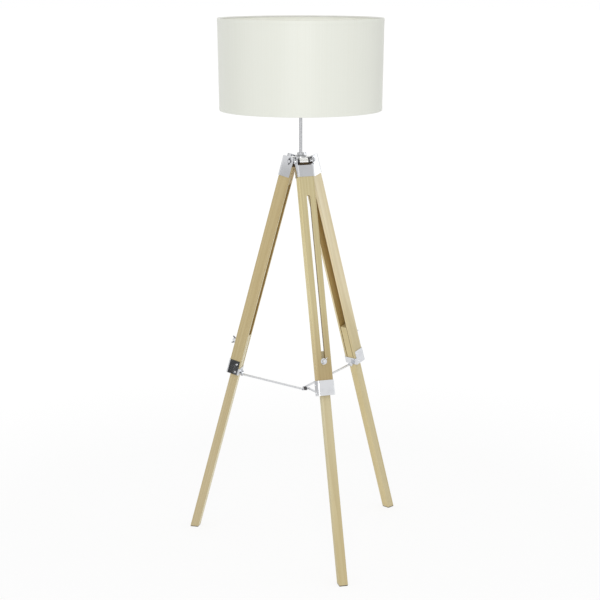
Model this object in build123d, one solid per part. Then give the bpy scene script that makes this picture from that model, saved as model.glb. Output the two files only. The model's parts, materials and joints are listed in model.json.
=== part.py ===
from build123d import *
import math
import os

# Tripod floor lamp, in millimetres. +Z is up, the floor is z = 0 and the lamp's axis is x = y = 0.
# The front leg points to -Y. A leg is drawn upright in its own frame and then splayed and turned:
# its hinge axis is the origin, x runs across the leg, y points in to the lamp's axis, z up the leg.
# The three legs with their knuckles and spreader lean a little, as one, under a level head and shade.

# Legs
LEG_TURNS = {"front": 0.0, "right": 120.0, "left": 240.0}
SPLAY = 16.39
TRIPOD_LEAN = -1.14
LEAN_HEADING = 15.0
HINGE_RADIUS = 26.0
HINGE_HEIGHT = 1102.0
UPPER_WIDTH = 43.2
UPPER_OUTER_Y = -20.1
INNER_Y = 13.0
UPPER_TOP_Z = -14.0
UPPER_BOTTOM_Z = -638.0
GROOVE_WIDTH = 26.4
GROOVE_FLOOR_Y = -11.1
GROOVE_TOP_Z = -66.0
SLOT_WIDTH = 9.5
SLOT_TOP_Z = -96.0
SLOT_BOTTOM_Z = -555.0
LOWER_WIDTH = 24.4
LOWER_OUTER_Y = -10.8
LOWER_INNER_Y = 12.9
LOWER_TOP_Z = -521.0
LOWER_RAW_END_Z = -1250.0
UPPER_ROUND = 3.0
LOWER_ROUND = 2.0
FLOOR_REACH = 700.0
FLOOR_DEPTH = 300.0
FOOT_PAD_HEIGHT = 2.5
FOOT_PAD_INSET = 0.4

# Chrome brackets on the legs
SHEET = 1.6
BEND_RADIUS = 4.0
BRACKET_INNER_X = 21.75
BRACKET_INNER_Y = -20.2
BRACKET_EDGE_Y = 10.6
CAP_BOTTOM_Z = -45.0
CAP_TOP_Z = 12.5
CAP_WEB_TOP_Z = -13.5
CAP_INNER_ROUND = 9.0
CAP_OUTER_ROUND = 5.0
CAP_PIN_RADIUS = 2.0
CAP_PIN_Y = -4.0
CAP_PIN_Z = -32.0
COLLAR_BOTTOM_Z = -641.0
COLLAR_TOP_Z = -599.5
STRAP_INNER_Y = 13.2
STRAP_TOP_Z = -621.0
COLLAR_SCREW_Y = 3.0
COLLAR_SCREW_HEIGHTS = (-610.5, -633.0)
SCREW_HEAD_RADIUS = 2.7
SCREW_HEAD_HEIGHT = 1.5
SCREW_RADIUS = 1.6
SCREW_DEPTH = 6.5
SCREW_RECESS = (0.8, 3.2, 0.8)
PIN_FIT = 0.04

# Clamp that holds the lower leg
CLAMP_Z = -549.0
CLAMP_BOLT_RADIUS = 3.0
CLAMP_BOLT_DEPTH_Y = 6.0
CLAMP_BOLT_END_Y = -32.3
WASHER_RADIUS = 8.5
WASHER_THICKNESS = 1.4
CLAMP_NUT_SPAN = 1.2
CLAMP_NUT_RISE = 1.2
CLAMP_NUT_SPINS = {"front": 55.0, "right": 20.0, "left": 86.0}

# Hinges at the head
KNUCKLE_RADIUS = 10.0
KNUCKLE_HALF_WIDTH = 12.0
HINGE_BOLT_RADIUS = 3.95
HINGE_HOLE_RADIUS = 4.0
HINGE_HEAD_RADIUS = 6.4
HINGE_HEAD_HEIGHT = 3.4
HINGE_SOCKET_RADIUS = 2.9
HINGE_SOCKET_DEPTH = 2.2
HINGE_BOLT_END_X = 29.6
HINGE_NUT_BASE_X = 23.55
BUSH_RADIUS = 6.6
HINGE_NUT_SPAN = 1.0
HINGE_NUT_RISE = 0.62
HINGE_NUT_SPINS = {"front": 15.0, "right": 20.0, "left": 8.0}

# Wing nuts, at the plain size whose span and rise each kind scales
NUT_BASE_RADIUS = 5.9
NUT_TOP_RADIUS = 4.6
NUT_HEIGHT = 8.0
WING_THICKNESS = 2.6
WING_TIP_ROUND = 1.2
WING_EDGE_ROUND = 0.9
WING_OUTLINE = ((2.0, 1.6), (6.0, 2.2), (9.4, 6.8), (9.6, 10.6), (7.6, 11.2), (4.6, 7.2), (2.0, 6.4))
THREAD_FIT = 0.05

# Spreader: each rod's inner end stands beside the tripod's axis, on one face of the three-sided hub
ROD_OFFSET = 9.0
ROD_RADIUS = 3.0
ROD_EYE_THICKNESS = 6.0
LUG_EYE_RADIUS = 4.6
HUB_EYE_RADIUS = 3.5
HUB_EYE_HOLE_RADIUS = 1.6
LUG_Y = 20.0
LUG_Z = -640.5
LUG_PLATE_X = (-5.8, -3.3)
LUG_RADIUS = 5.2
LUG_ROUND = 4.0
LUG_PIN_RADIUS = 2.0
LUG_PIN_HEAD_RADIUS = 3.2
LUG_PIN_HEAD_HEIGHT = 1.2
ROD_END_RADIUS = 4.0
HUB_Z = 450.0
HUB_FACE = 3.3
HUB_EYE_GAP = 0.7
HUB_CORNER_RADIUS = 5.6
HUB_HEIGHT = 10.0
HUB_ROUND = 0.8

# Head and stem
CORE_RADIUS = 17.0
CORE_HALF_HEIGHT = 10.0
ARM_HALF_HEIGHT = 9.2
STEM_RADIUS = 4.3
STEM_BORE_RADIUS = 3.5
STEM_BOTTOM_Z = 1079.0
STEM_TOP_Z = 1246.0
STEM_FIT = 0.05
FLANGE_RADIUS = 15.0
FLANGE_HEIGHT = 4.6
STEM_NUT_RADIUS = 9.8
STEM_NUT_HEIGHT = 7.0
LOCK_NUT_RADIUS = 8.8
LOCK_NUT_HEIGHT = 5.5
CORD_BUSH_RADIUS = 7.0
CORD_BUSH_LIP = 3.0
CORD_BORE_RADIUS = 3.1

# Lampholder and bulb
HOLDER_BOTTOM_Z = 1236.0
HOLDER_SEAT_Z = 1258.0
HOLDER_SHOULDER_RADIUS = 23.0
HOLDER_SHOULDER_HEIGHT = 3.0
HOLDER_RADIUS = 19.5
HOLDER_TOP_Z = 1298.0
HOLDER_BORE_RADIUS = 13.9
HOLDER_CAP_WALL = 1.6
INSERT_RADIUS = 17.2
INSERT_HEIGHT = 9.0
CONTACT_RADIUS = 3.0
CONTACT_GAP = 0.8
SIDE_CONTACT_X = (10.7, 11.7)
SIDE_CONTACT_HALF_WIDTH = 3.0
RING_NUT_RADIUS = 27.5
RING_NUT_HEIGHT = 8.0
RING_NUT_FIT = 0.1
BULB_CAP_RADIUS = 13.2
BULB_CAP_BOTTOM_Z = 1272.0
BULB_CAP_TOP_Z = 1299.0
BULB_CAP_WALL = 0.6
BULB_NECK_RADIUS = 12.4
BULB_NECK_BOTTOM_Z = 1292.0
BULB_RADIUS = 30.0
BULB_CENTRE_Z = 1352.0
BULB_WALL = 0.8

# Shade
SHADE_BOTTOM_RADIUS = 221.7
SHADE_TOP_RADIUS = 225.6
SHADE_BOTTOM_Z = 1240.2
SHADE_TOP_Z = 1486.5
SHADE_THICKNESS = 1.2
RING_WIRE_RADIUS = 2.0
SPIDER_WIRE_RADIUS = 1.8
SPIDER_ARMS = 3
SPIDER_TURN = 30.0
SPIDER_HUB_RADIUS = 30.0
SPIDER_HUB_THICKNESS = 1.6


def slab(x_range, y_range, z_range):
    size = [high - low for low, high in (x_range, y_range, z_range)]
    middle = [(high + low) / 2 for low, high in (x_range, y_range, z_range)]
    return Pos(*middle) * Box(*size)


def rod_x(radius, x_range, y=0.0, z=0.0):
    low, high = x_range
    return Pos((low + high) / 2, y, z) * Rot(0, 90, 0) * Cylinder(radius, high - low)


def rod_y(radius, y_range, x=0.0, z=0.0):
    low, high = y_range
    return Pos(x, (low + high) / 2, z) * Rot(90, 0, 0) * Cylinder(radius, high - low)


def rod_z(radius, z_range, x=0.0, y=0.0):
    low, high = z_range
    return Pos(x, y, (low + high) / 2) * Cylinder(radius, high - low)


def ring_z(outer, inner, z_range):
    return rod_z(outer, z_range) - rod_z(inner, z_range)


def turned(points):
    """A solid of revolution about the lamp's axis from an outline of (radius, height) points."""
    outline = Polyline(*[(radius, 0, height) for radius, height in points], close=True)
    return revolve(make_face(outline), Axis.Z)


def plate_x(points, x_range, rounds=()):
    """A flat plate across x, cut to an outline of (y, z) points; rounds gives (corner, radius) pairs."""
    outline = make_face(Polyline(*points, close=True))
    for corner, radius in rounds:
        y, z = points[corner]
        vertex = min(outline.vertices(), key=lambda v: math.hypot(v.X - y, v.Y - z))
        outline = fillet(vertex, radius)
    low, high = x_range
    return Pos(low, 0, 0) * extrude(Plane.YZ * outline, high - low)


def long_edges(shape):
    return shape.edges().filter_by(Axis.Z)


def leaning(shape):
    """Tilts a shape about the level line through the head that the tripod leans around."""
    tilt = Rot(0, 0, -LEAN_HEADING) * Rot(0, TRIPOD_LEAN, 0) * Rot(0, 0, LEAN_HEADING)
    return Pos(0, 0, HINGE_HEIGHT) * tilt * Pos(0, 0, -HINGE_HEIGHT) * shape


def on_leg(shape, leg):
    upright = Pos(0, -HINGE_RADIUS, HINGE_HEIGHT) * Rot(-SPLAY, 0, 0) * shape
    return leaning(Rot(0, 0, LEG_TURNS[leg]) * upright)


def on_every_leg(shape):
    return [on_leg(shape, leg) for leg in LEG_TURNS]


def lug_pivot():
    """Radius from the tripod's axis and height of the rod's pivot on a leg, before the tripod leans."""
    splay = math.radians(SPLAY)
    radius = HINGE_RADIUS - LUG_Y * math.cos(splay) - LUG_Z * math.sin(splay)
    height = HINGE_HEIGHT - LUG_Y * math.sin(splay) + LUG_Z * math.cos(splay)
    return radius, height


# Wooden legs

def collar_screws():
    solids = []
    for z in COLLAR_SCREW_HEIGHTS:
        for side in (-1, 1):
            face = side * (BRACKET_INNER_X + SHEET)
            head_x = sorted((face, face + side * SCREW_HEAD_HEIGHT))
            shank_x = sorted((face, face - side * (SHEET + SCREW_DEPTH)))
            head = rod_x(SCREW_HEAD_RADIUS, head_x, COLLAR_SCREW_Y, z)
            rim = head.faces().sort_by(Axis.X)[-1 if side > 0 else 0].edges()
            head = fillet(rim, SCREW_HEAD_HEIGHT * 0.7)
            screw = head + rod_x(SCREW_RADIUS, shank_x, COLLAR_SCREW_Y, z)
            solids.append(screw - cross_recess(face + side * SCREW_HEAD_HEIGHT, z))
    return solids


def cross_recess(x, z):
    width, length, depth = SCREW_RECESS
    bar = Box(2 * depth, width, length)
    return Pos(x, COLLAR_SCREW_Y, z) * (bar + Rot(90, 0, 0) * bar)


def collar_screw_holes():
    holes = []
    reach = BRACKET_INNER_X + SHEET
    for z in COLLAR_SCREW_HEIGHTS:
        for side in (-1, 1):
            x_range = sorted((side * (reach + 1), side * (reach - SHEET - SCREW_DEPTH - 1)))
            holes.append(rod_x(SCREW_RADIUS + PIN_FIT, x_range, COLLAR_SCREW_Y, z))
    return holes


def cap_pin_hole():
    reach = BRACKET_INNER_X + SHEET + 1
    return rod_x(CAP_PIN_RADIUS + PIN_FIT, (-reach, reach), CAP_PIN_Y, CAP_PIN_Z)


def upper_leg():
    half = UPPER_WIDTH / 2
    body = slab((-half, half), (UPPER_OUTER_Y, INNER_Y), (UPPER_BOTTOM_Z, UPPER_TOP_Z))
    body = fillet(long_edges(body), UPPER_ROUND)
    groove_half = GROOVE_WIDTH / 2
    groove_z = (UPPER_BOTTOM_Z - 1, GROOVE_TOP_Z)
    groove = slab((-groove_half, groove_half), (GROOVE_FLOOR_Y, INNER_Y + 1), groove_z)
    slot_round = SLOT_WIDTH / 2
    web = (UPPER_OUTER_Y - 1, GROOVE_FLOOR_Y + 1)
    top_round_z = SLOT_TOP_Z - slot_round
    bottom_round_z = SLOT_BOTTOM_Z + slot_round
    slot = slab((-slot_round, slot_round), web, (bottom_round_z, top_round_z))
    slot += rod_y(slot_round, web, 0, top_round_z)
    slot += rod_y(slot_round, web, 0, bottom_round_z)
    return body - groove - slot - cap_pin_hole() - collar_screw_holes()


def lower_leg_bar(inset=0.0):
    half = LOWER_WIDTH / 2 - inset
    y_range = (LOWER_OUTER_Y + inset, LOWER_INNER_Y - inset)
    bar = slab((-half, half), y_range, (LOWER_RAW_END_Z, LOWER_TOP_Z))
    return fillet(long_edges(bar), LOWER_ROUND)


def lower_leg(leg):
    bar = lower_leg_bar()
    bar -= rod_y(CLAMP_BOLT_RADIUS + PIN_FIT, (LOWER_OUTER_Y - 1, CLAMP_BOLT_DEPTH_Y + 0.5), 0, CLAMP_Z)
    return on_leg(bar, leg) - floor_slab(-FLOOR_DEPTH, FOOT_PAD_HEIGHT)


def foot_pad(leg):
    return on_leg(lower_leg_bar(FOOT_PAD_INSET), leg) & floor_slab(0.0, FOOT_PAD_HEIGHT)


def floor_slab(low, high):
    across = (-FLOOR_REACH, FLOOR_REACH)
    return slab(across, across, (low, high))


# Chrome brackets

def cap():
    edge = BRACKET_INNER_Y - SHEET
    outline = (
        (edge - 1, CAP_BOTTOM_Z),
        (BRACKET_EDGE_Y, CAP_BOTTOM_Z),
        (BRACKET_EDGE_Y, CAP_TOP_Z),
        (edge, CAP_TOP_Z),
        (edge, CAP_WEB_TOP_Z),
        (edge - 1, CAP_WEB_TOP_Z),
    )
    rounds = ((1, 2.0), (2, CAP_INNER_ROUND), (3, CAP_OUTER_ROUND))
    low, high = BRACKET_INNER_X, BRACKET_INNER_X + SHEET
    block = slab((-high, high), (edge, BRACKET_EDGE_Y), (CAP_BOTTOM_Z, CAP_TOP_Z))
    corners = long_edges(block).filter_by(lambda e: e.center().Y < edge + 0.1)
    channel = fillet(corners, BEND_RADIUS)
    hollow = slab((-low, low), (BRACKET_INNER_Y, BRACKET_EDGE_Y + 1), (CAP_BOTTOM_Z - 1, CAP_TOP_Z + 1))
    corners = long_edges(hollow).filter_by(lambda e: e.center().Y < BRACKET_INNER_Y + 0.1)
    channel -= fillet(corners, BEND_RADIUS - SHEET)
    channel -= slab((-low, low), (edge - 1, BRACKET_INNER_Y + 1), (CAP_WEB_TOP_Z, CAP_TOP_Z + 1))
    bracket = channel & plate_x(outline, (-high, high), rounds)
    return bracket - rod_x(HINGE_HOLE_RADIUS, (-high - 1, high + 1)) - cap_pin_hole()


def cap_pin():
    reach = BRACKET_INNER_X + SHEET
    return rod_x(CAP_PIN_RADIUS, (-reach, reach), CAP_PIN_Y, CAP_PIN_Z)


def collar():
    low, high = BRACKET_INNER_X, BRACKET_INNER_X + SHEET
    edge = BRACKET_INNER_Y - SHEET
    strap_outer = STRAP_INNER_Y + SHEET
    whole = (COLLAR_BOTTOM_Z, COLLAR_TOP_Z)
    strap = (COLLAR_BOTTOM_Z, STRAP_TOP_Z)
    sleeve = slab((-high, high), (edge, BRACKET_EDGE_Y), whole)
    sleeve += slab((-high, high), (BRACKET_EDGE_Y, strap_outer), strap)
    corners = long_edges(sleeve).filter_by(lambda e: abs(e.center().X) > high - 0.1)
    outer = corners.filter_by(lambda e: e.center().Y < edge + 0.1 or e.center().Y > strap_outer - 0.1)
    sleeve = fillet(outer, BEND_RADIUS)
    hollow = slab((-low, low), (BRACKET_INNER_Y, STRAP_INNER_Y), (COLLAR_BOTTOM_Z - 1, COLLAR_TOP_Z + 1))
    sleeve -= fillet(long_edges(hollow), BEND_RADIUS - SHEET)
    return sleeve + lug() - lug_pin_hole() - collar_screw_holes()


def lug():
    """Tab on the collar's strap that carries one rod of the spreader."""
    outline = (
        (STRAP_INNER_Y + SHEET / 2, STRAP_TOP_Z - 2.0),
        (LUG_Y + LUG_RADIUS - 1.0, LUG_Z + LUG_RADIUS - 1.0),
        (LUG_Y + LUG_RADIUS - 1.0, LUG_Z - LUG_RADIUS),
        (LUG_Y - LUG_RADIUS, LUG_Z - LUG_RADIUS),
        (STRAP_INNER_Y + SHEET / 2, COLLAR_BOTTOM_Z + 1.0),
    )
    return plate_x(outline, LUG_PLATE_X, [(corner, LUG_ROUND) for corner in (1, 2, 3)])


def lug_pin_range():
    return LUG_PLATE_X[0], ROD_EYE_THICKNESS / 2 + 0.2


def lug_pin_hole():
    low, high = LUG_PLATE_X
    return rod_x(LUG_PIN_RADIUS + PIN_FIT, (low - 1, high + 1), LUG_Y, LUG_Z)


def lug_pin():
    low, high = lug_pin_range()
    pin = rod_x(LUG_PIN_RADIUS, (low, high), LUG_Y, LUG_Z)
    for x_range in ((low - LUG_PIN_HEAD_HEIGHT, low), (high, high + LUG_PIN_HEAD_HEIGHT)):
        pin += rod_x(LUG_PIN_HEAD_RADIUS, x_range, LUG_Y, LUG_Z)
    return pin


# Clamps and hinge fasteners

def clamp_bolt():
    """Bolt screwed into the lower leg from outside, and the washer under its wing nut."""
    bolt = rod_y(CLAMP_BOLT_RADIUS, (CLAMP_BOLT_END_Y, CLAMP_BOLT_DEPTH_Y), 0, CLAMP_Z)
    washer_y = (washer_outer_y(), UPPER_OUTER_Y - 0.1)
    washer = rod_y(WASHER_RADIUS, washer_y, 0, CLAMP_Z)
    washer -= rod_y(CLAMP_BOLT_RADIUS + PIN_FIT, (washer_y[0] - 1, washer_y[1] + 1), 0, CLAMP_Z)
    return [bolt, washer]


def washer_outer_y():
    return UPPER_OUTER_Y - 0.1 - WASHER_THICKNESS


def wing_nut(bore_radius, spin, span, rise):
    """A wing nut standing on z = 0 about its own axis."""
    height = NUT_HEIGHT * rise
    body = Pos(0, 0, height / 2) * Cone(NUT_BASE_RADIUS, NUT_TOP_RADIUS, height)
    outline = make_face(Polyline(*[(x * span, y * rise) for x, y in WING_OUTLINE], close=True))
    outline = fillet(outline.vertices().sort_by(Axis.Y)[-3:], WING_TIP_ROUND * rise)
    wing = Pos(0, WING_THICKNESS / 2, 0) * Rot(90, 0, 0) * extrude(outline, WING_THICKNESS)
    wing = fillet(wing.faces().filter_by(Axis.Y).edges(), WING_EDGE_ROUND * rise)
    nut = body + wing + Rot(0, 0, 180) * wing
    nut -= rod_z(bore_radius, (-1, 2 * height))
    return Rot(0, 0, spin) * nut


def clamp_nut(leg):
    bore = CLAMP_BOLT_RADIUS + THREAD_FIT
    nut = wing_nut(bore, CLAMP_NUT_SPINS[leg], CLAMP_NUT_SPAN, CLAMP_NUT_RISE)
    return Pos(0, washer_outer_y() - 0.1, CLAMP_Z) * Rot(90, 0, 0) * nut


def hinge_nut(leg):
    bore = HINGE_BOLT_RADIUS + THREAD_FIT
    nut = wing_nut(bore, HINGE_NUT_SPINS[leg], HINGE_NUT_SPAN, HINGE_NUT_RISE)
    return Pos(HINGE_NUT_BASE_X, 0, 0) * Rot(0, 90, 0) * nut


def hinge_bolt():
    seat = BRACKET_INNER_X + SHEET + 0.2
    head = rod_x(HINGE_HEAD_RADIUS, (-seat - HINGE_HEAD_HEIGHT, -seat))
    head = fillet(head.faces().sort_by(Axis.X)[0].edges(), HINGE_HEAD_HEIGHT * 0.7)
    socket = extrude(RegularPolygon(HINGE_SOCKET_RADIUS, 6), HINGE_SOCKET_DEPTH)
    head -= Pos(-seat - HINGE_HEAD_HEIGHT, 0, 0) * Rot(0, 90, 0) * socket
    return head + rod_x(HINGE_BOLT_RADIUS, (-seat, HINGE_BOLT_END_X))


def hinge_bushes():
    """Two spacers that keep the cap's sides off the knuckle."""
    bushes = []
    for side in (-1, 1):
        x_range = sorted((side * (KNUCKLE_HALF_WIDTH + 0.1), side * (BRACKET_INNER_X - 0.2)))
        bush = rod_x(BUSH_RADIUS, x_range) - rod_x(HINGE_HOLE_RADIUS, (x_range[0] - 1, x_range[1] + 1))
        bushes.append(bush)
    return bushes


# Spreader

def rod_slope():
    radius, height = lug_pivot()
    return math.degrees(math.atan2(height - HUB_Z, radius - ROD_END_RADIUS))


def rod_length():
    radius, height = lug_pivot()
    return math.hypot(radius - ROD_END_RADIUS, height - HUB_Z)


def spreader_rod(leg):
    """Rod drawn along y from its pin on the leg, drifting sideways to its place on the hub."""
    length = rod_length()
    half = ROD_EYE_THICKNESS / 2
    drift = math.degrees(math.atan2(ROD_OFFSET, length))
    reach = math.hypot(ROD_OFFSET, length)
    rod = Rot(0, 0, -drift) * rod_y(ROD_RADIUS, (LUG_EYE_RADIUS - 1.0, reach - HUB_EYE_RADIUS + 1.0))
    rod += rod_x(LUG_EYE_RADIUS, (-half, half))
    rod += rod_x(HUB_EYE_RADIUS, (HUB_FACE + HUB_EYE_GAP, ROD_OFFSET + half), length)
    rod -= rod_x(LUG_PIN_RADIUS + PIN_FIT, (-half - 2, half + 2))
    rod -= rod_x(HUB_EYE_HOLE_RADIUS, (0, ROD_OFFSET + half + 2), length)
    radius, height = lug_pivot()
    return leaning(Rot(0, 0, LEG_TURNS[leg]) * Pos(0, -radius, height) * Rot(-rod_slope(), 0, 0) * rod)


def spreader_hub():
    low, high = HUB_Z - HUB_HEIGHT / 2, HUB_Z + HUB_HEIGHT / 2
    reach = HUB_CORNER_RADIUS + 1
    block = rod_z(HUB_CORNER_RADIUS, (low, high))
    for turn in LEG_TURNS.values():
        beyond = slab((HUB_FACE, 2 * reach), (-reach, reach), (low - 1, high + 1))
        block -= Rot(0, 0, turn) * beyond
    rims = block.edges().filter_by(lambda e: abs(abs(e.center().Z - HUB_Z) - HUB_HEIGHT / 2) < 0.01)
    return leaning(fillet(rims, HUB_ROUND))


# Head and stem

def head_casting():
    low, high = HINGE_HEIGHT - CORE_HALF_HEIGHT, HINGE_HEIGHT + CORE_HALF_HEIGHT
    half = KNUCKLE_HALF_WIDTH
    casting = rod_z(CORE_RADIUS, (low, high))
    arm_range = (HINGE_HEIGHT - ARM_HALF_HEIGHT, HINGE_HEIGHT + ARM_HALF_HEIGHT)
    arm = slab((-half, half), (-HINGE_RADIUS, 0), arm_range)
    knuckle = rod_x(KNUCKLE_RADIUS, (-half, half), -HINGE_RADIUS, HINGE_HEIGHT)
    bolt_hole = rod_x(HINGE_HOLE_RADIUS, (-half - 1, half + 1), -HINGE_RADIUS, HINGE_HEIGHT)
    for turn in LEG_TURNS.values():
        casting += leaning(Rot(0, 0, turn) * (arm + knuckle))
    for turn in LEG_TURNS.values():
        casting -= leaning(Rot(0, 0, turn) * bolt_hole)
    return casting - rod_z(STEM_RADIUS + STEM_FIT, (low - 1, high + 1))


def stem():
    return ring_z(STEM_RADIUS, STEM_BORE_RADIUS, (STEM_BOTTOM_Z, STEM_TOP_Z))


def stem_flange():
    low = HINGE_HEIGHT + CORE_HALF_HEIGHT
    disc = ring_z(FLANGE_RADIUS, STEM_RADIUS + STEM_FIT, (low, low + FLANGE_HEIGHT))
    rim = disc.edges().filter_by(GeomType.CIRCLE).group_by(Axis.Z)[-1].sort_by(SortBy.LENGTH)[-1]
    return fillet(rim, 2.0)


def stem_nut():
    low = HINGE_HEIGHT + CORE_HALF_HEIGHT + FLANGE_HEIGHT
    ring = ring_z(STEM_NUT_RADIUS, STEM_RADIUS + STEM_FIT, (low, low + STEM_NUT_HEIGHT))
    rims = ring.edges().filter_by(GeomType.CIRCLE).filter_by(lambda e: e.radius > STEM_NUT_RADIUS - 0.1)
    return fillet(rims, 1.2)


def lock_nut():
    high = HINGE_HEIGHT - CORE_HALF_HEIGHT
    hexagon = extrude(RegularPolygon(LOCK_NUT_RADIUS, 6), LOCK_NUT_HEIGHT)
    return Pos(0, 0, high - LOCK_NUT_HEIGHT) * hexagon - rod_z(STEM_RADIUS + STEM_FIT, (0, high + 1))


def cord_bush():
    """Lipped bush under the stem, where the cord comes out."""
    high = HINGE_HEIGHT - CORE_HALF_HEIGHT - LOCK_NUT_HEIGHT
    low = STEM_BOTTOM_Z - CORD_BUSH_LIP
    bush = ring_z(CORD_BUSH_RADIUS, STEM_RADIUS + STEM_FIT, (low, high))
    return bush + ring_z(CORD_BUSH_RADIUS, CORD_BORE_RADIUS, (low, STEM_BOTTOM_Z))


# Lampholder and bulb

def holder_cap():
    wall = HOLDER_CAP_WALL
    shoulder = HOLDER_RADIUS + 1.0
    bend_z = HOLDER_SEAT_Z - 10.0
    neck = STEM_RADIUS + STEM_FIT
    outline = (
        (neck, HOLDER_BOTTOM_Z),
        (neck + 3.0, HOLDER_BOTTOM_Z),
        (shoulder, bend_z),
        (shoulder, HOLDER_SEAT_Z),
        (shoulder - wall, HOLDER_SEAT_Z),
        (shoulder - wall, bend_z + wall),
        (neck + 1.0, HOLDER_BOTTOM_Z + 4.0),
        (neck, HOLDER_BOTTOM_Z + 4.0),
    )
    return turned(outline)


def holder_body():
    shoulder_top = HOLDER_SEAT_Z + HOLDER_SHOULDER_HEIGHT
    skirt = rod_z(HOLDER_SHOULDER_RADIUS, (HOLDER_SEAT_Z, shoulder_top))
    skirt += rod_z(HOLDER_RADIUS, (shoulder_top, HOLDER_TOP_Z))
    insert_top = HOLDER_SEAT_Z + INSERT_HEIGHT
    skirt -= rod_z(INSERT_RADIUS + 0.1, (HOLDER_SEAT_Z - 1, insert_top + 0.1))
    return skirt - rod_z(HOLDER_BORE_RADIUS, (insert_top, HOLDER_TOP_Z + 1))


def holder_insert():
    return rod_z(INSERT_RADIUS, (HOLDER_SEAT_Z, HOLDER_SEAT_Z + INSERT_HEIGHT))


def holder_contacts():
    """Centre tongue and side tongue standing on the insert."""
    z_range = (HOLDER_SEAT_Z + INSERT_HEIGHT, BULB_CAP_BOTTOM_Z - CONTACT_GAP)
    half = SIDE_CONTACT_HALF_WIDTH
    return [rod_z(CONTACT_RADIUS, z_range), slab(SIDE_CONTACT_X, (-half, half), z_range)]


def shade_ring():
    low = HOLDER_SEAT_Z + HOLDER_SHOULDER_HEIGHT + SPIDER_HUB_THICKNESS + 0.2
    ring = ring_z(RING_NUT_RADIUS, HOLDER_RADIUS + RING_NUT_FIT, (low, low + RING_NUT_HEIGHT))
    rims = ring.edges().filter_by(GeomType.CIRCLE).filter_by(lambda e: e.radius > RING_NUT_RADIUS - 0.1)
    return fillet(rims, 1.0)


def bulb_cap():
    shell = rod_z(BULB_CAP_RADIUS, (BULB_CAP_BOTTOM_Z + 2.0, BULB_CAP_TOP_Z))
    shell += Pos(0, 0, BULB_CAP_BOTTOM_Z + 1.0) * Cone(6.0, BULB_CAP_RADIUS - 2.0, 2.0)
    inside = BULB_CAP_RADIUS - BULB_CAP_WALL
    return shell - rod_z(inside, (BULB_CAP_BOTTOM_Z + 4.0, BULB_CAP_TOP_Z + 1))


def bulb_glass():
    """Blown envelope: a ball drawn down to a neck that stands in the cap."""
    def outline(ball, neck):
        tangent_z = BULB_CENTRE_Z - ball * 0.6
        tangent_radius = ball * 0.8
        line = Polyline(
            (0, 0, BULB_CENTRE_Z + ball),
            (0, 0, BULB_NECK_BOTTOM_Z),
            (neck, 0, BULB_NECK_BOTTOM_Z),
            (neck, 0, BULB_CAP_TOP_Z),
        )
        flank = Spline(
            (neck, 0, BULB_CAP_TOP_Z),
            (tangent_radius, 0, tangent_z),
            tangents=((0, 0, 1), (0.6, 0, 0.8)),
        )
        dome = ThreePointArc(
            (tangent_radius, 0, tangent_z),
            (ball, 0, BULB_CENTRE_Z),
            (0, 0, BULB_CENTRE_Z + ball),
        )
        return make_face(line + flank + dome)

    solid = revolve(outline(BULB_RADIUS, BULB_NECK_RADIUS), Axis.Z)
    inside = revolve(outline(BULB_RADIUS - BULB_WALL, BULB_NECK_RADIUS - BULB_WALL), Axis.Z)
    return solid - inside


# Shade

def shade_radius(z):
    share = (z - SHADE_BOTTOM_Z) / (SHADE_TOP_Z - SHADE_BOTTOM_Z)
    return SHADE_BOTTOM_RADIUS + share * (SHADE_TOP_RADIUS - SHADE_BOTTOM_RADIUS)


def shade_fabric():
    outline = (
        (SHADE_BOTTOM_RADIUS - SHADE_THICKNESS, SHADE_BOTTOM_Z),
        (SHADE_BOTTOM_RADIUS, SHADE_BOTTOM_Z),
        (SHADE_TOP_RADIUS, SHADE_TOP_Z),
        (SHADE_TOP_RADIUS - SHADE_THICKNESS, SHADE_TOP_Z),
    )
    return turned(outline)


def ring_wire(z):
    radius = shade_radius(z) - SHADE_THICKNESS - RING_WIRE_RADIUS - 0.3
    return Pos(0, 0, z) * Torus(radius, RING_WIRE_RADIUS)


def shade_top_ring():
    return ring_wire(SHADE_TOP_Z - RING_WIRE_RADIUS - 0.5)


def shade_spider():
    """Bottom ring of the shade with the arms and the flat washer that sits on the lampholder."""
    ring_z_level = SHADE_BOTTOM_Z + RING_WIRE_RADIUS + 0.5
    washer_z = HOLDER_SEAT_Z + HOLDER_SHOULDER_HEIGHT
    spider = ring_wire(ring_z_level)
    spider += ring_z(SPIDER_HUB_RADIUS, HOLDER_RADIUS + 0.4, (washer_z, washer_z + SPIDER_HUB_THICKNESS))
    inner = Vector(SPIDER_HUB_RADIUS - 1.0, 0, washer_z + SPIDER_HUB_THICKNESS / 2)
    outer_radius = shade_radius(ring_z_level) - SHADE_THICKNESS - RING_WIRE_RADIUS - 0.3
    outer = Vector(outer_radius, 0, ring_z_level)
    along = outer - inner
    start = Plane(origin=inner, z_dir=along)
    arm = start * Pos(0, 0, along.length / 2) * Cylinder(SPIDER_WIRE_RADIUS, along.length)
    for index in range(SPIDER_ARMS):
        spider += Rot(0, 0, SPIDER_TURN + index * 360.0 / SPIDER_ARMS) * arm
    return spider


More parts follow.
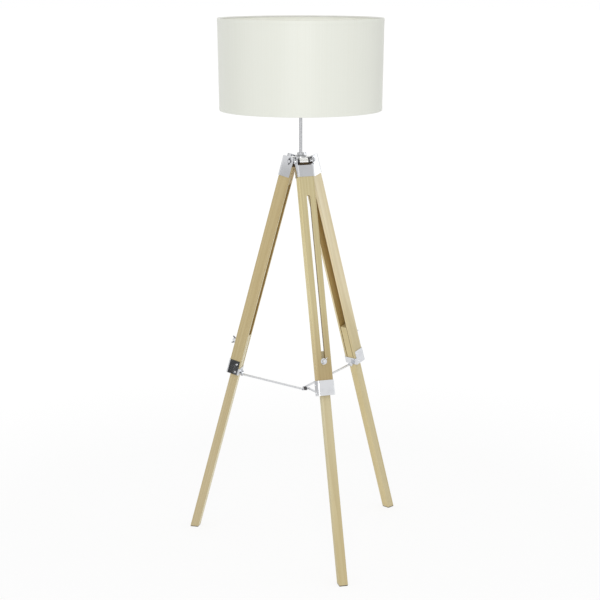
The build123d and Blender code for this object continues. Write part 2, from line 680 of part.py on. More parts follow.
def pieces():
    """Every node's name with its solid or its group of solids."""
    nodes = {
        "head_casting": head_casting(),
        "hinge_bolts": on_every_leg(hinge_bolt()),
        "hinge_bushes": [bush for leg in LEG_TURNS for bush in [on_leg(b, leg) for b in hinge_bushes()]],
        "stem": stem(),
        "stem_flange": stem_flange(),
        "stem_nut": stem_nut(),
        "stem_lock_nut": lock_nut(),
        "cord_bush": cord_bush(),
        "lampholder_cap": holder_cap(),
        "lampholder_body": holder_body(),
        "lampholder_insert": holder_insert(),
        "lampholder_contacts": holder_contacts(),
        "shade_ring_nut": shade_ring(),
        "shade_spider": shade_spider(),
        "shade_top_ring": shade_top_ring(),
        "shade_fabric": shade_fabric(),
        "bulb_cap": bulb_cap(),
        "bulb_glass": bulb_glass(),
        "spreader_hub": spreader_hub(),
    }
    for leg in LEG_TURNS:
        nodes[leg + "_cap"] = on_leg(cap(), leg)
        nodes[leg + "_cap_pin"] = on_leg(cap_pin(), leg)
        nodes[leg + "_hinge_wing_nut"] = on_leg(hinge_nut(leg), leg)
        nodes[leg + "_upper_leg"] = on_leg(upper_leg(), leg)
        nodes[leg + "_collar"] = on_leg(collar(), leg)
        nodes[leg + "_collar_screws"] = [on_leg(screw, leg) for screw in collar_screws()]
        nodes[leg + "_lug_pin"] = on_leg(lug_pin(), leg)
        nodes[leg + "_spreader_rod"] = spreader_rod(leg)
        nodes[leg + "_lower_leg"] = lower_leg(leg)
        nodes[leg + "_foot_pad"] = foot_pad(leg)
        nodes[leg + "_clamp_bolt"] = [on_leg(solid, leg) for solid in clamp_bolt()]
        nodes[leg + "_clamp_wing_nut"] = on_leg(clamp_nut(leg), leg)
    return nodes


def main():
    os.makedirs("parts", exist_ok=True)
    for name, shape in pieces().items():
        if isinstance(shape, list):
            shape = Compound(children=[Solid(item.solid().wrapped) for item in shape])
        export_step(shape, "parts/" + name + ".step")


main()
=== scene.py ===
import json
import math

import bmesh
import bpy
from mathutils import Matrix, Vector


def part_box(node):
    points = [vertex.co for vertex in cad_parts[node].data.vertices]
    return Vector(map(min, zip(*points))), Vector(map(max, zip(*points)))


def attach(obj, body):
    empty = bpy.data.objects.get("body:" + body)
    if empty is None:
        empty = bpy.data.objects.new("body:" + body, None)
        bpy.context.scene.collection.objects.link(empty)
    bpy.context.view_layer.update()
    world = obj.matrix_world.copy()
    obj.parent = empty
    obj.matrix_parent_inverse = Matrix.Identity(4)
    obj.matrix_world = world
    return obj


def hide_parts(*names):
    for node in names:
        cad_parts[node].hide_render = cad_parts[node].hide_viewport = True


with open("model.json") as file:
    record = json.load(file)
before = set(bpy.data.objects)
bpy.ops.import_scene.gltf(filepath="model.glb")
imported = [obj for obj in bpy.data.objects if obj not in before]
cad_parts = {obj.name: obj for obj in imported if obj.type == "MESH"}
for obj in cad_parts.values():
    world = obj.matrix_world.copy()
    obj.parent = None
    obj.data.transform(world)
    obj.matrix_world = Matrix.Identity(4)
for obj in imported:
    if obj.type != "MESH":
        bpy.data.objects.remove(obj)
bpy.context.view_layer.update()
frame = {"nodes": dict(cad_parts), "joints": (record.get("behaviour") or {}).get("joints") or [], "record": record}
scene = bpy.context.scene
scene.view_settings.view_transform = "Standard"
legs = ("front", "right", "left")
joints = {joint["name"]: joint for joint in frame["joints"]}
print("frame loaded:", len(frame["nodes"]), "nodes")


# Camera, standing where the photograph was taken
photoView = {
    "stand": (-1.0248, -3.8195, 1.6090),  # metres from the lamp's foot
    "heading": 14.99,  # degrees from +Y towards +X
    "pitch": -12.836,
    "lens": 86.63,
    "sensor": 36.0,
    "farthest": 200.0,
}


def placeCamera(settings):
    heading = math.radians(settings["heading"])
    pitch = math.radians(settings["pitch"])
    level = Vector((math.sin(heading), math.cos(heading), 0.0))
    ahead = level * math.cos(pitch) + Vector((0.0, 0.0, math.sin(pitch)))
    right = Vector((math.cos(heading), -math.sin(heading), 0.0))
    up = right.cross(ahead)
    turn = Matrix((right, up, -ahead)).transposed()
    lensBlock = bpy.data.cameras.new("photoCamera")
    lensBlock.lens = settings["lens"]
    lensBlock.sensor_width = settings["sensor"]
    lensBlock.clip_end = settings["farthest"]
    camera = bpy.data.objects.new("photoCamera", lensBlock)
    camera.matrix_world = Matrix.Translation(settings["stand"]) @ turn.to_4x4()
    scene.collection.objects.link(camera)
    scene.camera = camera


placeCamera(photoView)
print("camera placed")


# Shader maths: a socket that can be added, scaled and compared
class Wire:
    def __init__(self, finish, socket):
        self.finish = finish
        self.socket = socket

    def maths(self, operation, first, second=0.0):
        return self.finish.node("ShaderNodeMath", {"operation": operation}, {0: first, 1: second})

    def __add__(self, other):
        return self.maths("ADD", self, other)

    def __sub__(self, other):
        return self.maths("SUBTRACT", self, other)

    def __mul__(self, other):
        return self.maths("MULTIPLY", self, other)

    def __truediv__(self, other):
        return self.maths("DIVIDE", self, other)

    def __pow__(self, other):
        return self.maths("POWER", self, other)

    def __radd__(self, other):
        return self.maths("ADD", other, self)

    def __rsub__(self, other):
        return self.maths("SUBTRACT", other, self)

    def __rmul__(self, other):
        return self.maths("MULTIPLY", other, self)

    def size(self):
        return self.maths("ABSOLUTE", self)

    def sine(self):
        return self.maths("SINE", self)

    def fraction(self):
        return self.maths("FRACT", self)

    def around(self, other):
        return self.maths("ARCTAN2", self, other)


# One material and its nodes
class Finish:
    def __init__(self, name):
        self.material = bpy.data.materials.new(name)
        self.material.use_nodes = True
        self.tree = self.material.node_tree
        self.tree.nodes.clear()

    def node(self, kind, settings=None, inputs=None, out=0):
        made = self.tree.nodes.new(kind)
        for key, value in (settings or {}).items():
            setattr(made, key, value)
        for key, value in (inputs or {}).items():
            if isinstance(value, Wire):
                self.tree.links.new(value.socket, made.inputs[key])
            else:
                made.inputs[key].default_value = value
        if isinstance(out, tuple):
            return [Wire(self, made.outputs[name]) for name in out]
        return Wire(self, made.outputs[out]) if made.outputs else None

    def place(self, location=(0, 0, 0), rotation=(0, 0, 0), scale=(1, 1, 1)):
        point = self.node("ShaderNodeTexCoord", out="Object")
        inputs = {"Vector": point, "Location": location, "Rotation": rotation, "Scale": scale}
        return self.node("ShaderNodeMapping", {"vector_type": "TEXTURE"}, inputs)

    def stretch(self, point, factors):
        return self.node("ShaderNodeVectorMath", {"operation": "MULTIPLY"}, {0: point, 1: factors})

    def tint(self, tone, factors):
        return self.stretch(tone, factors)

    def noise(self, point, scale, detail=2.0, roughness=0.5):
        inputs = {"Vector": point, "Scale": scale, "Detail": detail, "Roughness": roughness}
        return self.node("ShaderNodeTexNoise", None, inputs, "Fac")

    def grain(self, point, stretch, detail=2.0, roughness=0.5):
        return self.noise(self.stretch(point, stretch), 1.0, detail, roughness)

    def axes(self, point):
        return self.node("ShaderNodeSeparateXYZ", None, {0: point}, ("X", "Y", "Z"))

    def ramp(self, value, low, high):
        inputs = {"Value": value, "From Min": low, "From Max": high}
        return self.node("ShaderNodeMapRange", {"clamp": True}, inputs)

    def mix(self, share, first, second):
        return self.node("ShaderNodeMix", {"data_type": "RGBA"}, {0: share, 6: first, 7: second}, 2)

    def bump(self, height, strength, distance):
        inputs = {"Height": height, "Strength": strength, "Distance": distance}
        return self.node("ShaderNodeBump", None, inputs)

    def close(self, **inputs):
        named = {key.replace("_", " "): value for key, value in inputs.items()}
        surface = self.node("ShaderNodeBsdfPrincipled", None, named)
        self.node("ShaderNodeOutputMaterial", None, {"Surface": surface})
        return self.material


def colour(red, green, blue):
    return (red, green, blue, 1.0)


white = colour(1, 1, 1)


# Wood of the legs, with the grain along each leg
wood = {
    "pale": colour(0.600, 0.505, 0.310),
    "mid": colour(0.520, 0.425, 0.235),
    "latewood": colour(0.400, 0.295, 0.135),
    "drift": {"stretch": (14, 14, 1.6), "detail": 3.0},
    "fibre": {"stretch": (1400, 1400, 22), "detail": 3.0, "roughness": 0.6},
    "streak": {"stretch": (190, 190, 3.0), "detail": 4.0, "roughness": 0.55},
    "broad": {"stretch": (34, 34, 2.2)},
    "ringWidth": 0.0062,
    "heartOffset": (0.07, 0.05),  # from the leg's hinge to the middle of the log
    "cuts": {  # place in the log of the first stick, and the step to the next
        "upper": ((0.0, 0.0, 0.0), (0.013, 0.021, 0.37)),
        "lower": ((0.05, -0.03, 0.9), (0.017, 0.0, 0.51)),
    },
    "wander": (0.016, 0.012),  # of the rings, by the drift
    "lateRise": (0.30, 0.95),  # parts of a ring
    "lateFall": (1.0, 0.95),
    "lateShare": 0.26,
    "darkFibre": (0.58, 0.78),
    "fibreShare": 0.18,
    "broadShare": 0.55,
    "paleFrom": (0.36, 0.64),
    "roughness": 0.46,
    "fibreRoughness": 0.16,
    "relief": {"fibre": 0.6, "streak": 0.4, "late": 0.25, "strength": 0.22, "depth": 0.0006},
    "varnish": 0.10,
    "varnishRoughness": 0.30,
    "blend": 0.0003,  # widths of the changes from one face to the next
    "flankBlend": 0.001,
    "grooveBlend": 0.0001,
    "endBlend": 0.0002,
    "gapShadowBlend": 0.0004,
    "gapShadowFade": 0.004,
    "groove": colour(0.71, 0.585, 0.345),  # painted shade inside the groove
    "grooveHalf": 0.0133,
    "outerFace": -0.0195,
    "innerFace": 0.0125,
    "inner": {  # painted light on the inner faces
        "front": colour(1.06, 1.06, 1.06),
        "right": colour(1.17, 1.16, 1.12),
        "left": colour(1.45, 1.58, 1.90),
    },
    "flank": {  # half width, and the painted light on the left flank of the front leg's sticks
        "front_upper_leg": (0.0212, colour(1.36, 1.37, 1.36)),
        "front_lower_leg": (0.0119, colour(1.10, 1.11, 1.10)),
    },
    "gapShadowFrom": 0.0106,  # painted shadow line along the edges of the lower legs that run in the grooves
    "gapShadowAbove": -0.636,
    "gapShadow": colour(0.44, 0.38, 0.30),
    "topEnd": -0.0143,
    "endGrainAndShade": colour(0.34, 0.28, 0.22),
    "fade": {"upper": (-0.40, -0.60), "lower": (-0.62, -1.05)},  # heights between the two tints
    "tints": {  # each stick against the plain wood, at its top and at its lower end; partly the stick's own tone, partly painted light and shade: the right upper leg painted brighter, the front upper leg painted darker towards its collar
        "front_upper_leg": (colour(1.01, 1.045, 0.98), colour(0.77, 0.71, 0.58)),
        "right_upper_leg": (colour(1.37, 1.45, 1.67), colour(1.06, 1.10, 1.11)),
        "left_upper_leg": (colour(0.99, 0.965, 0.875), colour(0.93, 0.92, 0.84)),
        "front_lower_leg": (colour(1.05, 1.11, 1.165), colour(0.98, 0.98, 0.895)),
        "right_lower_leg": (colour(1.09, 1.125, 1.09), colour(1.05, 1.07, 1.04)),
        "left_lower_leg": (colour(1.01, 1.02, 1.02), colour(0.97, 0.97, 0.955)),
    },
}


def legTurn(leg):
    across = Vector(joints[leg + "_leg_fold"]["axis"])
    along = Vector(joints[leg + "_lower_leg_slide"]["axis"])
    inward = along.cross(across)
    return Matrix((across, inward, along)).transposed().to_euler("XYZ")


def woodFinish(leg, share, shift):
    node = leg + "_" + share + "_leg"
    top, end = wood["tints"][node]
    finish = Finish(node + "_wood")
    stick = finish.place(joints[leg + "_leg_fold"]["pos_m"], legTurn(leg))
    point = finish.node("ShaderNodeVectorMath", {"operation": "ADD"}, {0: stick, 1: shift})
    drift = finish.grain(point, **wood["drift"]) - 0.5
    x, y, z = finish.axes(point)
    offX = x - wood["heartOffset"][0] + drift * wood["wander"][0]
    offY = y - wood["heartOffset"][1] + drift * wood["wander"][1]
    radius = (offX * offX + offY * offY) ** 0.5
    ring = (radius / wood["ringWidth"]).fraction()
    late = finish.ramp(ring, *wood["lateRise"]) * finish.ramp(ring, *wood["lateFall"])
    fibre = finish.grain(point, **wood["fibre"])
    streak = finish.grain(point, **wood["streak"])
    broad = finish.grain(point, **wood["broad"])
    pale = finish.ramp(broad * wood["broadShare"] + streak * (1 - wood["broadShare"]), *wood["paleFrom"])
    tone = finish.mix(pale, wood["mid"], wood["pale"])
    dark = late * wood["lateShare"] + finish.ramp(fibre, *wood["darkFibre"]) * wood["fibreShare"]
    tone = finish.mix(dark, tone, wood["latewood"])
    sideways, outward, up = finish.axes(stick)
    # stick tints: the stick's own tone plus painted light and shade along its length
    tone = finish.tint(tone, finish.mix(finish.ramp(up, *wood["fade"][share]), top, end))
    # painted light: the inner faces are brightened as though lit from the floor and the sides
    innerLit = finish.ramp(outward, wood["innerFace"], wood["innerFace"] + wood["blend"])
    tone = finish.tint(tone, finish.mix(innerLit, white, wood["inner"][leg]))
    # painted light: the left flank is brightened as though lit from the left
    if node in wood["flank"]:
        half, flank = wood["flank"][node]
        litFlankMask = finish.ramp(sideways, -half + wood["flankBlend"], -half)
        tone = finish.tint(tone, finish.mix(litFlankMask, white, flank))
    if share == "upper":
        # painted shade: the groove and the slot walls are darkened as though in shade
        half = wood["grooveHalf"]
        inside = finish.ramp(sideways.size(), half + wood["grooveBlend"], half)
        inside = inside * finish.ramp(outward, wood["outerFace"], wood["outerFace"] + wood["blend"])
        tone = finish.tint(tone, finish.mix(inside, white, wood["groove"]))
        # darker end grain at the top, plus painted shade under the cap
        endGrainAndShadeMask = finish.ramp(up, wood["topEnd"], wood["topEnd"] + wood["endBlend"])
        tone = finish.tint(tone, finish.mix(endGrainAndShadeMask, white, wood["endGrainAndShade"]))
    else:
        # painted shadow: dark lines along the lower legs' edges inside the channel, where the gap to the groove
        # walls lies in shade
        gapShadowMask = finish.ramp(sideways.size(), wood["gapShadowFrom"], wood["gapShadowFrom"] + wood["gapShadowBlend"])
        gapShadowMask = gapShadowMask * finish.ramp(up, wood["gapShadowAbove"], wood["gapShadowAbove"] + wood["gapShadowFade"])
        tone = finish.tint(tone, finish.mix(gapShadowMask, white, wood["gapShadow"]))
    relief = wood["relief"]
    height = fibre * relief["fibre"] + streak * relief["streak"] - late * relief["late"]
    return finish.close(
        Base_Color=tone,
        Roughness=wood["roughness"] + fibre * wood["fibreRoughness"],
        Normal=finish.bump(height, relief["strength"], relief["depth"]),
        Coat_Weight=wood["varnish"],
        Coat_Roughness=wood["varnishRoughness"],
    )


# Chrome plate and steel, each with a clean and a dull tone
metal = {
    "cloud": {"scale": 38.0, "detail": 4.0, "roughness": 0.6},
    "specks": {"scale": 620.0},
    "hairline": {"stretch": (90, 90, 1500)},
    "stainFrom": (0.48, 0.72),
    "stainShare": 0.6,
    "speckFrom": (0.62, 0.78),
    "speckRoughness": 0.03,
    "hairShare": 0.5,
    "depth": 0.0006,
    "chrome": (colour(0.70, 0.71, 0.73), colour(0.60, 0.61, 0.635)),
    "steel": (colour(0.50, 0.505, 0.52), colour(0.42, 0.425, 0.44)),
    "cast": (colour(0.93, 0.93, 0.925), colour(0.86, 0.86, 0.855)),
    # painted reflection: near-black tones for the chrome hinge wing nuts, standing for the dark they reflect
    "dark": (colour(0.16, 0.16, 0.175), colour(0.11, 0.11, 0.12)),
    "kinds": {
        "brightChrome": {"tones": "chrome", "polish": 0.09, "smudge": 0.10, "ripple": 0.004},
        "satinSteel": {"tones": "steel", "polish": 0.26, "smudge": 0.04, "ripple": 0.0005},
        "castChrome": {"tones": "cast", "polish": 0.24, "smudge": 0.06, "ripple": 0.001},
        "satinChrome": {"tones": "chrome", "polish": 0.34, "smudge": 0.05, "ripple": 0.0005},
        "shadedChrome": {"tones": "dark", "polish": 0.16, "smudge": 0.06, "ripple": 0.002},
        "bulbMetal": {"tones": "chrome", "polish": 0.28, "smudge": 0.12, "ripple": 0.004},
    },
}


def metalFinish(name):
    kind = metal["kinds"][name]
    clean, dull = metal[kind["tones"]]
    finish = Finish(name)
    point = finish.place()
    cloud = finish.noise(point, **metal["cloud"])
    specks = finish.ramp(finish.noise(point, **metal["specks"]), *metal["speckFrom"])
    hairline = finish.grain(point, **metal["hairline"])
    stain = finish.ramp(cloud, *metal["stainFrom"])
    return finish.close(
        Base_Color=finish.mix(stain * metal["stainShare"], clean, dull),
        Metallic=1.0,
        Roughness=kind["polish"] + stain * kind["smudge"] + specks * metal["speckRoughness"],
        Normal=finish.bump(hairline * metal["hairShare"] + cloud, kind["ripple"], metal["depth"]),
    )


# Ivory fabric of the shade, woven round the drum
shade = {
    "thread": colour(0.790, 0.804, 0.735),
    "shadow": colour(0.755, 0.770, 0.690),
    "lining": colour(0.91, 0.915, 0.85),
    "liningDull": colour(0.87, 0.875, 0.80),
    "threadPitch": 0.0011,
    "wall": 0.0012,
    "hemWidth": 0.009,
    "hemRise": 0.0004,
    "seamWidth": 0.012,
    "seamTurn": math.radians(74.0),  # from +X, so that the overlap is at the back
    "seamSteps": 6,
    "hemSlope": 0.0006,
    "sharpFrom": math.radians(30.0),
    "weld": 1e-6,
    "steps": 192,
    "slub": {"stretch": (300, 1, 0.8), "detail": 3.0, "roughness": 0.6},
    "cross": {"stretch": (9, 1, 420), "detail": 3.0, "roughness": 0.6},
    "soft": {"stretch": (16, 1, 2)},
    "threadFrom": (0.35, 0.65),
    "shares": {"slub": 0.55, "cross": 0.05, "weave": 0.03, "soft": 0.37},
    "roughness": 0.62,
    "slubPolish": 0.16,
    "relief": {"weave": 0.1, "slub": 0.6, "strength": 0.06, "depth": 0.0003},
    "specular": 0.8,
    "sheen": 0.6,
    "sheenRoughness": 0.45,
    "liningCloud": {"scale": 30.0, "detail": 3.0},
    "liningFrom": (0.3, 0.7),
    "liningGrain": {"scale": 900.0},
    "liningRoughness": (0.45, 0.15),  # least, and what the grain adds
    "liningRelief": (0.12, 0.0003),  # strength and depth
}


def fabricFinish(name, radius):
    finish = Finish(name)
    point = finish.place()
    x, y, z = finish.axes(point)
    girth = y.around(x) * radius
    warp = (girth * (2 * math.pi / shade["threadPitch"])).sine()
    weft = (z * (2 * math.pi / shade["threadPitch"])).sine()
    unrolled = finish.node("ShaderNodeCombineXYZ", None, {0: girth, 1: 0.0, 2: z})
    slub = finish.grain(unrolled, **shade["slub"])
    cross = finish.grain(unrolled, **shade["cross"])
    soft = finish.grain(unrolled, **shade["soft"])
    weave = warp * weft * 0.5 + 0.5
    shares, relief = shade["shares"], shade["relief"]
    share = finish.ramp(slub, *shade["threadFrom"]) * shares["slub"]
    share = share + finish.ramp(cross, *shade["threadFrom"]) * shares["cross"]
    share = share + weave * shares["weave"] + soft * shares["soft"]
    height = weave * relief["weave"] + slub * relief["slub"]
    return finish.close(
        Base_Color=finish.mix(share, shade["shadow"], shade["thread"]),
        Roughness=shade["roughness"] - slub * shade["slubPolish"],
        Normal=finish.bump(height, relief["strength"], relief["depth"]),
        Specular_IOR_Level=shade["specular"],
        Coat_Weight=shade["sheen"],
        Coat_Roughness=shade["sheenRoughness"],
    )


def liningFinish(name):
    finish = Finish(name)
    point = finish.place()
    cloud = finish.ramp(finish.noise(point, **shade["liningCloud"]), *shade["liningFrom"])
    grain = finish.noise(point, **shade["liningGrain"])
    least, added = shade["liningRoughness"]
    return finish.close(
        Base_Color=finish.mix(cloud, shade["lining"], shade["liningDull"]),
        Roughness=least + grain * added,
        Normal=finish.bump(grain, *shade["liningRelief"]),
    )


# Bushes of the three hinges, with painted shade beside the knuckle, where the gap lies in shade, and bright metal
# beside the cap
bush = {
    "knuckleGapShade": colour(0.05, 0.05, 0.055),
    "bright": colour(0.62, 0.62, 0.64),
    "join": 0.0172,  # from the middle of the hinge
    "blend": 0.0002,
    "hingeTurn": 1.25,  # thirds of a turn that bring each hinge to the middle of its sector
    "grain": {"scale": 420.0, "detail": 3.0},
    "roughness": (0.34, 0.12),  # least, and what the grain adds
    "relief": (0.1, 0.0004),  # strength and depth
}


def bushFinish(name):
    finish = Finish(name)
    point = finish.place()
    x, y, z = finish.axes(point)
    grain = finish.noise(point, **bush["grain"])
    third = 2 * math.pi / 3
    sector = (y.around(x) / third + bush["hingeTurn"]).fraction() - 0.5
    across = (sector * third).sine() * (x * x + y * y) ** 0.5
    outer = finish.ramp(across.size(), bush["join"], bush["join"] + bush["blend"])
    least, added = bush["roughness"]
    return finish.close(
        Base_Color=finish.mix(outer, bush["knuckleGapShade"], bush["bright"]),
        Metallic=outer,
        Roughness=least + grain * added,
        Normal=finish.bump(grain, *bush["relief"]),
    )


# Moulded and painted small parts
moulded = {
    "cloud": {"scale": 24.0, "detail": 3.0},
    "grainDetail": 3.0,
    "cloudShare": 0.7,
    "lightFrom": (0.35, 0.65),
    "grainRoughness": 0.12,
    "relief": (0.1, 0.0004),  # strength and depth
    "kinds": {
        "blackMould": {
            "light": colour(0.085, 0.085, 0.09), "dark": colour(0.055, 0.055, 0.058),
            "roughness": 0.42, "scale": 420.0,
        },
        "whiteMould": {
            "light": colour(0.80, 0.79, 0.76), "dark": colour(0.74, 0.73, 0.69),
            "roughness": 0.28, "scale": 420.0,
        },
        "insertMould": {
            "light": colour(0.72, 0.70, 0.65), "dark": colour(0.62, 0.60, 0.55),
            "roughness": 0.55, "scale": 420.0,
        },
        "whitePaint": {
            "light": colour(0.78, 0.78, 0.75), "dark": colour(0.70, 0.70, 0.66),
            "roughness": 0.34, "scale": 260.0,
        },
        "footRubber": {
            "light": colour(0.16, 0.14, 0.12), "dark": colour(0.09, 0.08, 0.07),
            "roughness": 0.7, "scale": 420.0,
        },
    },
}


def mouldedFinish(name):
    kind = moulded["kinds"][name]
    finish = Finish(name)
    point = finish.place()
    grain = finish.noise(point, kind["scale"], moulded["grainDetail"])
    cloud = finish.noise(point, **moulded["cloud"])
    mottle = cloud * moulded["cloudShare"] + grain * (1 - moulded["cloudShare"])
    return finish.close(
        Base_Color=finish.mix(finish.ramp(mottle, *moulded["lightFrom"]), kind["dark"], kind["light"]),
        Roughness=kind["roughness"] + grain * moulded["grainRoughness"],
        Normal=finish.bump(grain, *moulded["relief"]),
    )


brass = {
    "clean": colour(0.78, 0.57, 0.25),
    "tarnished": colour(0.42, 0.29, 0.12),
    "cloud": {"scale": 260.0, "detail": 4.0},
    "tarnishFrom": (0.45, 0.7),
    "roughness": (0.22, 0.25),  # least, and what the tarnish adds
}


def brassFinish(name):
    finish = Finish(name)
    tarnish = finish.ramp(finish.noise(finish.place(), **brass["cloud"]), *brass["tarnishFrom"])
    least, added = brass["roughness"]
    return finish.close(
        Base_Color=finish.mix(tarnish, brass["clean"], brass["tarnished"]),
        Metallic=1.0,
        Roughness=least + tarnish * added,
    )


glass = {
    "clear": colour(0.90, 0.90, 0.88),
    "frosted": colour(0.97, 0.97, 0.95),
    "frost": {"scale": 700.0},
    "roughness": (0.30, 0.15),  # least, and what the frost adds
    "passing": 0.55,
    "index": 1.45,
}


def glassFinish(name):
    finish = Finish(name)
    frost = finish.noise(finish.place(), **glass["frost"])
    least, added = glass["roughness"]
    return finish.close(
        Base_Color=finish.mix(frost, glass["clear"], glass["frosted"]),
        Roughness=least + frost * added,
        Transmission_Weight=glass["passing"],
        IOR=glass["index"],
    )


def dress(node, material):
    piece = frame["nodes"][node]
    piece.data.materials.clear()
    piece.data.materials.append(material)


shadeLow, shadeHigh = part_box("shade_fabric")
shadeRadius = shadeHigh.x
fabric = fabricFinish("shadeFabric", shadeRadius)
lining = liningFinish("shadeLining")
metals = {name: metalFinish(name) for name in metal["kinds"]}
moulds = {name: mouldedFinish(name) for name in moulded["kinds"]}

finishes = {
    "chrome": metals["brightChrome"],
    "stem_metal": metals["satinSteel"],
    "shade_fabric": fabric,
    "white_wire": moulds["whitePaint"],
    "white_plastic": moulds["whiteMould"],
    "ceramic_insert": moulds["insertMould"],
    "brass": brassFinish("contactBrass"),
    "bulb_metal": metals["bulbMetal"],
    "bulb_glass": glassFinish("frostedGlass"),
    "dark_plastic": moulds["blackMould"],
    "nylon": moulds["blackMould"],
    "foot_rubber": moulds["footRubber"],
}

for number, leg in enumerate(legs):
    for share, (first, step) in wood["cuts"].items():
        dress(leg + "_" + share + "_leg", woodFinish(leg, share, Vector(first) + Vector(step) * number))

for part in frame["record"]["subparts"]:
    if part["material_slot"] in finishes:
        dress(part["node"], finishes[part["material_slot"]])
dress("head_casting", metals["castChrome"])
dress("hinge_bushes", bushFinish("hingeBush"))
for leg in legs:
    # painted reflection: the chrome hinge wing nuts get the darkened tones
    dress(leg + "_hinge_wing_nut", metals["shadedChrome"])
    dress(leg + "_lug_pin", metals["satinChrome"])
    dress(leg + "_spreader_rod", metals["satinChrome"])
print("finishes made:", len(bpy.data.materials))


# New pieces
fullTurn = 2 * math.pi


def addMesh(name, mesh, materials):
    block = bpy.data.meshes.new(name)
    mesh.to_mesh(block)
    mesh.free()
    for material in materials:
        block.materials.append(material)
    item = bpy.data.objects.new(name, block)
    scene.collection.objects.link(item)
    return item


def addPiece(name, mesh, body, materials):
    piece = addMesh(name, mesh, materials)
    piece.data.shade_smooth()
    piece.data.set_sharp_from_angle(angle=shade["sharpFrom"])
    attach(piece, body)
    return piece


def spinOutline(points, steps, angle=fullTurn, start=0.0):
    mesh = bmesh.new()
    corners = [mesh.verts.new((radius, 0.0, height)) for radius, height in points]
    edges = [mesh.edges.new((corners[i - 1], corners[i])) for i in range(len(corners))]
    bmesh.ops.rotate(mesh, verts=corners, cent=(0, 0, 0), matrix=Matrix.Rotation(start, 3, "Z"))
    whole = angle == fullTurn
    if not whole:
        bmesh.ops.contextual_create(mesh, geom=edges)
    geometry = mesh.verts[:] + mesh.edges[:] + mesh.faces[:]
    bmesh.ops.spin(
        mesh, geom=geometry, cent=(0, 0, 0), axis=(0, 0, 1), angle=angle, steps=steps, use_merge=whole
    )
    bmesh.ops.remove_doubles(mesh, verts=mesh.verts[:], dist=shade["weld"])
    bmesh.ops.recalc_face_normals(mesh, faces=mesh.faces[:])
    return mesh


def wallRadius(height):
    return lowRadius + (highRadius - lowRadius) * (height - shadeLow.z) / (shadeHigh.z - shadeLow.z)


corners = frame["nodes"]["shade_fabric"].data.vertices
highRadius = shadeRadius - shade["hemRise"]
lowRadius = min(math.hypot(corner.co.x, corner.co.y) for corner in corners) + shade["wall"]


def shadeCover():
    low, high, wall = shadeLow.z, shadeHigh.z, shade["wall"]
    hem, rise, slope = shade["hemWidth"], shade["hemRise"], shade["hemSlope"]
    outside = [
        (low + wall * 0.4, 0.0),
        (low + wall * 0.9, rise),
        (low + hem, rise),
        (low + hem + slope, 0.0),
        (high - hem - slope, 0.0),
        (high - hem, rise),
        (high - wall * 0.9, rise),
        (high - wall * 0.4, 0.0),
    ]
    inside = [(high, 0.4), (high - wall * 0.5, 1.0), (low + wall * 0.5, 1.0), (low, 0.4)]
    points = [(wallRadius(height) + lift, height) for height, lift in outside]
    points += [(wallRadius(height) - wall * depth, height) for height, depth in inside]
    mesh = spinOutline(points, shade["steps"])
    for face in mesh.faces:
        middle = face.calc_center_median()
        if face.normal.dot(Vector((middle.x, middle.y, 0.0))) < 0:
            face.material_index = 1
    cover = addPiece("shade_cover", mesh, "head", [fabric, lining])
    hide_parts("shade_fabric")
    return cover


def shadeSeam():
    wall = shade["wall"]
    low, high = shadeLow.z + wall, shadeHigh.z - wall
    points = [
        (wallRadius(low) - wall * 0.3, low),
        (wallRadius(low) + shade["hemRise"] * 0.9, low),
        (wallRadius(high) + shade["hemRise"] * 0.9, high),
        (wallRadius(high) - wall * 0.3, high),
    ]
    angle = shade["seamWidth"] / shadeRadius
    mesh = spinOutline(points, shade["seamSteps"], angle, shade["seamTurn"])
    return addPiece("shade_seam", mesh, "head", [fabric])


cover = shadeCover()
seam = shadeSeam()
print("shade made")


# Floor, world, lamps and the cards that the metal reflects
studio = {
    "floorRadius": 60.0,
    "floorSides": 96,
    "floorTone": colour(0.86, 0.86, 0.86),
    "shadowShare": 0.22,  # how much of the floor's own light and shadow is seen
    "shadowReach": (0.9, 2.4),  # metres from the lamp over which it fades to plain white
    "floorGlow": 1.03,
    "ambient": 0.86,
    "lamps": {
        "frontLamp": {"stand": (-1.15, -4.30, 1.95), "aim": (0, 0, 0.9), "size": 1.5, "power": 36.0},
    },
    "cards": {
        "lowFlag": {"centre": (-1.17, -0.81, 0.20), "width": 0.6, "height": 0.42, "tone": 0.075},
        "leftFlag": {"centre": (-1.84, -1.70, 0.50), "width": 1.2, "height": 0.5, "tone": 0.62},
        "backFlag": {"centre": (-0.40, 1.30, 0.17), "width": 0.8, "height": 0.32, "tone": 0.62},
        "frontFlag": {"centre": (0.77, -2.66, 2.30), "width": 1.2, "height": 1.0, "tone": 0.72},
        "sideFlagLeft": {"centre": (-2.17, 1.24, 1.0), "width": 0.6, "height": 2.0, "tone": 0.12},
        "sideFlagRight": {"centre": (2.40, 1.00, 1.0), "width": 0.6, "height": 2.0, "tone": 0.12},
        "rightGlow": {"centre": (2.90, -0.80, 0.55), "width": 1.4, "height": 0.6, "tone": 1.6},
        "rightFlag": {"centre": (2.75, -0.86, 1.25), "width": 1.2, "height": 0.7, "tone": 0.25},
    },
}


def addStage(name, mesh, material):
    item = addMesh(name, mesh, [material])
    return item


def seenDirectly(finish):
    names = ("Is Camera Ray", "Is Glossy Ray", "Is Transmission Ray")
    camera, glossy, passing = finish.node("ShaderNodeLightPath", None, None, names)
    return finish.ramp(camera + glossy + passing, 0.0, 1.0)


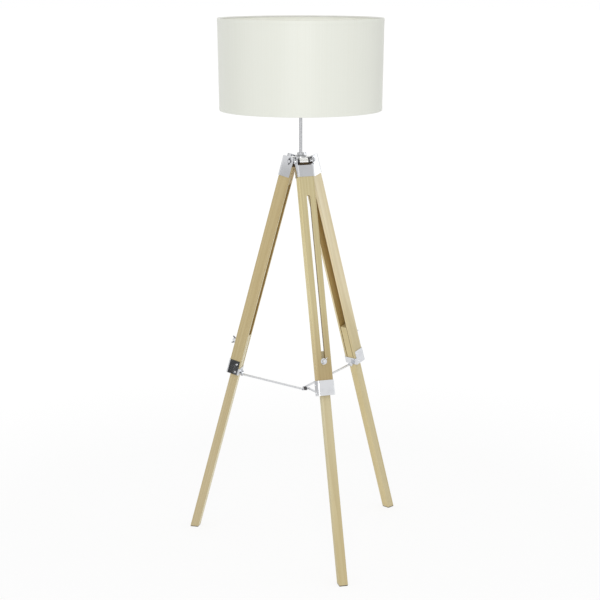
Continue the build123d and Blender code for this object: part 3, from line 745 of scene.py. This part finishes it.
def layFloor():
    mesh = bmesh.new()
    sides, radius = studio["floorSides"], studio["floorRadius"]
    bmesh.ops.create_circle(mesh, cap_ends=True, radius=radius, segments=sides)
    finish = Finish("studioFloor")
    x, y, z = finish.axes(finish.place())
    near = 1 - finish.ramp((x * x + y * y) ** 0.5, *studio["shadowReach"])
    matt = finish.node("ShaderNodeBsdfDiffuse", None, {"Color": studio["floorTone"]})
    glow = finish.node("ShaderNodeEmission", None, {"Color": white, "Strength": studio["floorGlow"]})
    share = seenDirectly(finish) * (1 - near * studio["shadowShare"])
    surface = finish.node("ShaderNodeMixShader", None, {0: share, 1: matt, 2: glow})
    finish.node("ShaderNodeOutputMaterial", None, {"Surface": surface})
    addStage("studioFloor", mesh, finish.material)


class WorldFinish(Finish):
    def __init__(self, world):
        world.use_nodes = True
        self.tree = world.node_tree
        self.tree.nodes.clear()


def lightWorld():
    scene.world = bpy.data.worlds.new("studioWorld")
    finish = WorldFinish(scene.world)
    strength = studio["ambient"] + seenDirectly(finish) * (1 - studio["ambient"])
    glow = finish.node("ShaderNodeBackground", None, {"Color": white, "Strength": strength})
    finish.node("ShaderNodeOutputWorld", None, {"Surface": glow})


def hangLamp(name, settings):
    block = bpy.data.lights.new(name, "AREA")
    block.shape = "DISK"
    block.size = settings["size"]
    block.energy = settings["power"]
    lamp = bpy.data.objects.new(name, block)
    lamp.location = settings["stand"]
    toAim = Vector(settings["aim"]) - lamp.location
    lamp.rotation_euler = toAim.to_track_quat("-Z", "Y").to_euler()
    scene.collection.objects.link(lamp)


def hangCard(name, settings):
    centre = Vector(settings["centre"])
    mesh = bmesh.new()
    bmesh.ops.create_grid(mesh, x_segments=1, y_segments=1, size=0.5)
    bmesh.ops.scale(mesh, vec=(settings["width"], settings["height"], 1.0), verts=mesh.verts[:])
    turn = Vector((-centre.x, -centre.y, 0.0)).to_track_quat("Z", "Y").to_matrix().to_4x4()
    bmesh.ops.transform(mesh, matrix=Matrix.Translation(centre) @ turn, verts=mesh.verts[:])
    finish = Finish(name)
    glow = finish.node("ShaderNodeEmission", None, {"Color": white, "Strength": settings["tone"]})
    finish.node("ShaderNodeOutputMaterial", None, {"Surface": glow})
    finish.material.cycles.emission_sampling = "NONE"
    card = addStage(name, mesh, finish.material)
    card.visible_camera = False
    card.visible_diffuse = False
    card.visible_transmission = False
    card.visible_shadow = False


layFloor()
lightWorld()
for name, settings in studio["lamps"].items():
    hangLamp(name, settings)
for name, settings in studio["cards"].items():
    hangCard(name, settings)
print("studio lit")
